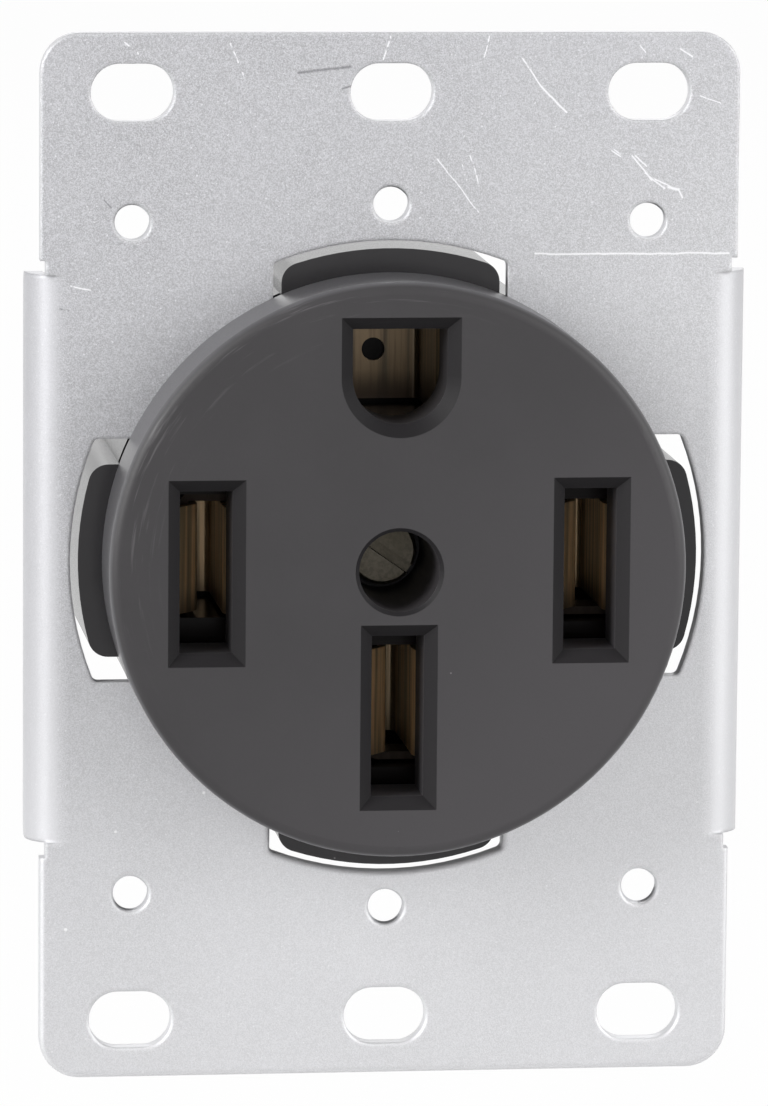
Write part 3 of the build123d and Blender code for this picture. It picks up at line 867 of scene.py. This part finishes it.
def rolled_metal(name, base, tarnish, least_roughness, line_axis):
    """Sheet or turned metal with fine lines along one axis and uneven tarnish."""
    material, tree, surface, place = new_material(name)
    scales = [2600.0, 2600.0, 2600.0]
    scales[line_axis] = 120.0
    lines = stretched_noise(tree, place, tuple(scales), detail=3.0, roughness=0.6)
    paler = tuple(min(1.0, value * 1.18) for value in base)
    darker = tuple(value * 0.72 for value in base)
    colour = mix_colour(tree, ramp_between(tree, lines, 0.35, 0.65), darker, paler)
    colour = tint(tree, colour, patches_of(tree, place, 5 * MM), 0.55, tarnish)
    tree.links.new(colour, surface.inputs["Base Color"])
    surface.inputs["Metallic"].default_value = 1.0
    roughen(tree, surface, lines, 0.22, least_roughness)
    bump(tree, surface, lines, 0.02 * MM, 0.35)
    return material


def contact_brass(settings, name, middle_z, tone_scale):
    """Contact strip: broad and fine drawn lines along Z, with painted shade deep in towards its base and at its
    low end.
    """
    material, tree, surface, place = new_material(name + "_brass")
    bright = tuple(value * tone_scale for value in settings.contact_colour)
    olive = tuple(value * share for value, share in zip(bright, (0.50, 0.55, 0.58)))
    painted_shade_brass = tuple(value * share for value, share in zip(bright, (0.12, 0.10, 0.10)))
    axes = axes_of(tree, place)
    broad = stretched_noise(tree, place, (1100.0, 1100.0, 22.0), detail=2.0, roughness=0.5)
    lines = stretched_noise(tree, place, (3600.0, 3600.0, 110.0), detail=3.0, roughness=0.6)
    colour = mix_colour(tree, ramp_between(tree, broad, 0.40, 0.60), olive, bright)
    # Painted shade: the brass is painted darker deeper in and towards its low end
    inward = ramp_between(tree, axes["Y"], *CONTACT_INWARD, at_low=0.0, at_high=0.5)
    start, end = (middle_z + below for below in CONTACT_LOW_END)
    low_end = ramp_between(tree, axes["Z"], start, end, at_low=0.0, at_high=0.9)
    colour = mix_colour(tree, math_node(tree, "MAXIMUM", inward, low_end), colour, painted_shade_brass)
    colour = tint(tree, colour, ramp_between(tree, lines, 0.45, 0.7), 0.35, DRAWN_LINE)
    tree.links.new(colour, surface.inputs["Base Color"])
    surface.inputs["Metallic"].default_value = 0.4
    roughen(tree, surface, lines, 0.2, 0.22)
    bump(tree, surface, lines, 0.02 * MM, 0.3)
    return material


def dress(piece, material):
    """Gives a piece one material."""
    piece.data.materials.clear()
    piece.data.materials.append(material)


def dress_node(name, material):
    """Gives a node of the frame one material."""
    dress(frame["nodes"][name], material)


# Operators: one for each piece or group of like pieces

class DressStrap(bpy.types.Operator):
    """Gives the strap its galvanised finish and rolled edges"""

    bl_idname = "receptacle.dress_strap"
    bl_label = "Dress Strap"

    def execute(self, context):
        dress_node("strap", galvanised_steel(context.scene.receptacle_strap))
        return {"FINISHED"}


class DressMouldings(bpy.types.Operator):
    """Gives the front cover and the rear body their moulded finishes"""

    bl_idname = "receptacle.dress_mouldings"
    bl_label = "Dress Mouldings"

    def execute(self, context):
        settings = context.scene.receptacle_mouldings
        dress_node("front_cover", moulded_face(settings))
        dress_node("rear_body", moulded_body(settings))
        return {"FINISHED"}


class DressContacts(bpy.types.Operator):
    """Gives the contacts, spring clips and bonding parts their metal finishes"""

    bl_idname = "receptacle.dress_contacts"
    bl_label = "Dress Contacts"

    def execute(self, context):
        settings = context.scene.receptacle_metals
        spring = rolled_metal("spring_steel", SPRING_STEEL, SPRING_TARNISH, 0.38, Z_AXIS)
        for name in TERMINALS:
            low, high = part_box(name + "_contact")
            # The ground contact's brass is painted darker: painted shade in its slot
            tone_scale = 0.55 if name == "ground" else 1.0
            brass = contact_brass(settings, name, (low.z + high.z) / 2, tone_scale)
            dress_node(name + "_contact", brass)
            dress_node(name + "_spring_clip", spring)
        dress_node("bonding_strip", contact_brass(settings, "bonding_strip", 0.0, 0.6))
        rivet = rolled_metal("rivet_brass", tuple(settings.lug_colour), RIVET_TARNISH, 0.25, Y_AXIS)
        dress_node("bonding_rivet", rivet)
        return {"FINISHED"}


class DressTerminals(bpy.types.Operator):
    """Gives the lugs and clamp plates their finishes"""

    bl_idname = "receptacle.dress_terminals"
    bl_label = "Dress Terminals"

    def execute(self, context):
        settings = context.scene.receptacle_metals
        brass, zinc = tuple(settings.lug_colour), tuple(settings.screw_colour)
        lug = rolled_metal("lug_brass", brass, LUG_TARNISH, 0.24, X_AXIS)
        plate = rolled_metal("clamp_plate_zinc", zinc, PLATE_TARNISH, 0.28, Z_AXIS)
        for name in TERMINALS:
            dress_node(name + "_clamp_plate", plate)
            dress_node(name + "_lug", lug)
        return {"FINISHED"}


class MakeTerminalScrews(bpy.types.Operator):
    """Makes the four slotted terminal screws with their threads"""

    bl_idname = "receptacle.make_terminal_screws"
    bl_label = "Make Terminal Screws"

    def execute(self, context):
        settings = context.scene.receptacle_metals
        colour = tuple(settings.screw_colour)
        zinc = rolled_metal("terminal_screw_zinc", colour, SCREW_TARNISH, 0.22, Y_AXIS)
        slot_width, slot_depth = TERMINAL_SLOT
        for name in TERMINALS:
            node = name + "_terminal_screw"
            low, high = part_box(node)
            middle = (low + high) / 2
            crest = (high.x - low.x) / 2
            root = crest - TERMINAL_THREAD_HEIGHT
            start = low.y + TERMINAL_CHAMFER
            rings = (
                (low.y, crest - TERMINAL_CHAMFER * 1.4), (start, root),
                (high.y - TERMINAL_CHAMFER * 0.5, crest), (high.y, crest - TERMINAL_CHAMFER * 0.8),
            )
            thread = (start, high.y - TERMINAL_PLAIN_END, root, crest, settings.thread_pitch)
            mesh = screw_mesh(name + "_screw_turned", rings, thread, settings.thread_steps)
            mesh.transform(Matrix.Translation((middle.x, 0, middle.z)))
            piece = piece_from_mesh(name + "_screw_turned", mesh, node)
            slot_size = (crest * 3, slot_depth * 2, slot_width)
            cut_slot(piece, slot_size, (middle.x, high.y, middle.z))
            dress(piece, zinc)
        return {"FINISHED"}


class MakeCentreScrew(bpy.types.Operator):
    """Makes the centre screw with its slot and thread, and dresses the nut"""

    bl_idname = "receptacle.make_centre_screw"
    bl_label = "Make Centre Screw"

    def execute(self, context):
        yellow = rolled_metal("yellow_zinc", YELLOW_ZINC, YELLOW_TARNISH, 0.42, Y_AXIS)
        low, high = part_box("centre_screw")
        head, shank = (high.x - low.x) / 2, CENTRE_SHANK_RADIUS
        seat = low.y + CENTRE_HEAD_HEIGHT
        start = high.y - CENTRE_THREAD_LENGTH
        rings = (
            (low.y, head * 0.90), (low.y + CENTRE_HEAD_EDGE, head), (seat, head),
            (seat + 0.01 * MM, shank), (start - 0.1 * MM, shank), (high.y, shank * 0.75),
        )
        end = high.y - CENTRE_PLAIN_END
        thread = (start, end, shank - CENTRE_THREAD_HEIGHT, shank, CENTRE_THREAD_PITCH)
        mesh = screw_mesh("centre_screw_turned", rings, thread, CENTRE_THREAD_STEPS)
        piece = piece_from_mesh("centre_screw_turned", mesh, "centre_screw")
        slot_width, slot_depth = CENTRE_SLOT
        turn = Matrix.Rotation(CENTRE_SLOT_TURN, 4, "Y")
        cut_slot(piece, (head * 3, slot_depth * 2, slot_width), (0, low.y, 0), turn)
        dress(piece, yellow)
        dress_node("centre_nut", yellow)
        return {"FINISHED"}


class MakeTappedThreads(bpy.types.Operator):
    """Makes the thread ridges inside the six tapped holes of the strap"""

    bl_idname = "receptacle.make_tapped_threads"
    bl_label = "Make Tapped Threads"

    def execute(self, context):
        settings = context.scene.receptacle_strap
        mounts = {mount["name"]: mount["dims"] for mount in frame["record"]["mounts"]}
        corner = mounts["cover_plate_holes"]
        middle = mounts["cover_plate_middle_holes"]
        across, upright = corner["spacing_x_mm"] / 2, corner["spacing_y_mm"] / 2
        places = [(side * across, end * upright) for side in (-1, 1) for end in (-1, 1)]
        places += [(0.0, end * middle["spacing_y_mm"] / 2) for end in (-1, 1)]
        zinc = bpy.data.materials["galvanised_steel"]
        for count, (x, z) in enumerate(places, 1):
            mesh = thread_ridge_mesh(corner["hole_r_mm"] * MM, settings.thread_depth)
            mesh.transform(Matrix.Translation((x * MM, 0, z * MM)))
            piece = piece_from_mesh("cover_hole_thread_%d" % count, mesh)
            dress(piece, zinc)
        return {"FINISHED"}


# Stage

def white_behind(tree, shader, share):
    """Mixes plain white into what camera, glossy and transmission rays see of a surface."""
    light_path = tree.nodes.new("ShaderNodeLightPath")
    rays = light_path.outputs
    seen = plus(tree, rays["Is Camera Ray"], rays["Is Glossy Ray"])
    seen = math_node(tree, "ADD", seen, rays["Is Transmission Ray"], clamp=True)
    glow = tree.nodes.new("ShaderNodeEmission")
    mixer = tree.nodes.new("ShaderNodeMixShader")
    tree.links.new(times(tree, seen, share), mixer.inputs[0])
    tree.links.new(shader, mixer.inputs[1])
    tree.links.new(glow.outputs[0], mixer.inputs[2])
    return mixer.outputs[0]


def add_floor():
    shape = bmesh.new()
    bmesh.ops.create_grid(shape, x_segments=1, y_segments=1, size=FLOOR_REACH)
    floor = linked_object("floor", finished_mesh(shape, "floor"))
    floor.location.z = STRAP_LOW.z - FLOOR_DROP
    material = bpy.data.materials.new("pale_floor")
    material.use_nodes = True
    tree = material.node_tree
    surface = tree.nodes["Principled BSDF"]
    surface.inputs["Base Color"].default_value = FLOOR_SHADE
    surface.inputs["Roughness"].default_value = 0.9
    seen = white_behind(tree, surface.outputs[0], FLOOR_WHITE)
    tree.links.new(seen, tree.nodes["Material Output"].inputs["Surface"])
    floor.data.materials.append(material)


def add_world():
    world = bpy.data.worlds.new("studio")
    bpy.context.scene.world = world
    world.use_nodes = True
    tree = world.node_tree
    soft = tree.nodes["Background"]
    soft.inputs["Color"].default_value = (1, 1, 1, 1)
    soft.inputs["Strength"].default_value = WORLD_STRENGTH
    seen = white_behind(tree, soft.outputs[0], 1.0)
    tree.links.new(seen, tree.nodes["World Output"].inputs["Surface"])


def add_lamp(name, place, size, power):
    """Soft box that faces the middle of the receptacle."""
    lamp = bpy.data.lights.new(name, "AREA")
    lamp.shape = "RECTANGLE"
    lamp.size, lamp.size_y = size
    lamp.energy = power
    holder = linked_object(name, lamp)
    holder.location = place
    holder.rotation_mode = "QUATERNION"
    holder.rotation_quaternion = (-Vector(place)).to_track_quat("-Z", "Y")


def add_camera(settings):
    camera = bpy.data.cameras.new("camera")
    holder = linked_object("camera", camera)
    sideways, upward = settings.azimuth, settings.elevation
    level = math.cos(upward)
    back = Vector((-math.sin(sideways) * level, -math.cos(sideways) * level, math.sin(upward)))
    holder.location = Vector(CAMERA_TARGET) + back * settings.distance
    facing = (-back).to_track_quat("-Z", "Y").to_matrix()
    rolled = facing @ Matrix.Rotation(settings.roll, 3, "Z")
    holder.rotation_mode = "QUATERNION"
    holder.rotation_quaternion = rolled.to_quaternion()
    focal_pixels = settings.pixels_per_metre * settings.distance
    camera.sensor_width = SENSOR_LONG_SIDE
    camera.lens = focal_pixels * SENSOR_LONG_SIDE / PHOTO_HEIGHT
    camera.clip_start, camera.clip_end = 0.01, 50
    bpy.context.scene.camera = holder


class MakeStage(bpy.types.Operator):
    """Sets the pale floor, the world, the soft lamps and the camera"""

    bl_idname = "receptacle.make_stage"
    bl_label = "Make Stage"

    def execute(self, context):
        settings = context.scene.receptacle_stage
        add_floor()
        add_world()
        for name, place, size, share in LAMPS:
            add_lamp(name, place, size, settings.lamp_power * share)
        add_camera(settings)
        context.scene.view_settings.view_transform = "Standard"
        return {"FINISHED"}


STEPS = (
    DressStrap, DressMouldings, DressContacts, DressTerminals,
    MakeTerminalScrews, MakeCentreScrew, MakeTappedThreads, MakeStage,
)


class ReceptaclePanel(bpy.types.Panel):
    """Lists the steps and their settings"""

    bl_idname = "VIEW3D_PT_receptacle"
    bl_label = "Receptacle"
    bl_space_type = "VIEW_3D"
    bl_region_type = "UI"
    bl_category = "Receptacle"

    def draw(self, context):
        for step in STEPS:
            self.layout.operator(step.bl_idname)
        for name in SETTINGS:
            group = getattr(context.scene, name)
            box = self.layout.box()
            for prop in group.__annotations__:
                box.prop(group, prop)


def register():
    for name, group in SETTINGS.items():
        bpy.utils.register_class(group)
        setattr(bpy.types.Scene, name, PointerProperty(type=group))
    for step in STEPS:
        bpy.utils.register_class(step)
    bpy.utils.register_class(ReceptaclePanel)


def unregister():
    bpy.utils.unregister_class(ReceptaclePanel)
    for step in reversed(STEPS):
        bpy.utils.unregister_class(step)
    for name, group in SETTINGS.items():
        delattr(bpy.types.Scene, name)
        bpy.utils.unregister_class(group)


def main():
    register()
    bpy.ops.receptacle.dress_strap()
    bpy.ops.receptacle.dress_mouldings()
    bpy.ops.receptacle.dress_contacts()
    bpy.ops.receptacle.dress_terminals()
    bpy.ops.receptacle.make_terminal_screws()
    bpy.ops.receptacle.make_centre_screw()
    bpy.ops.receptacle.make_tapped_threads()
    bpy.ops.receptacle.make_stage()


if __name__ == "__main__":
    main()
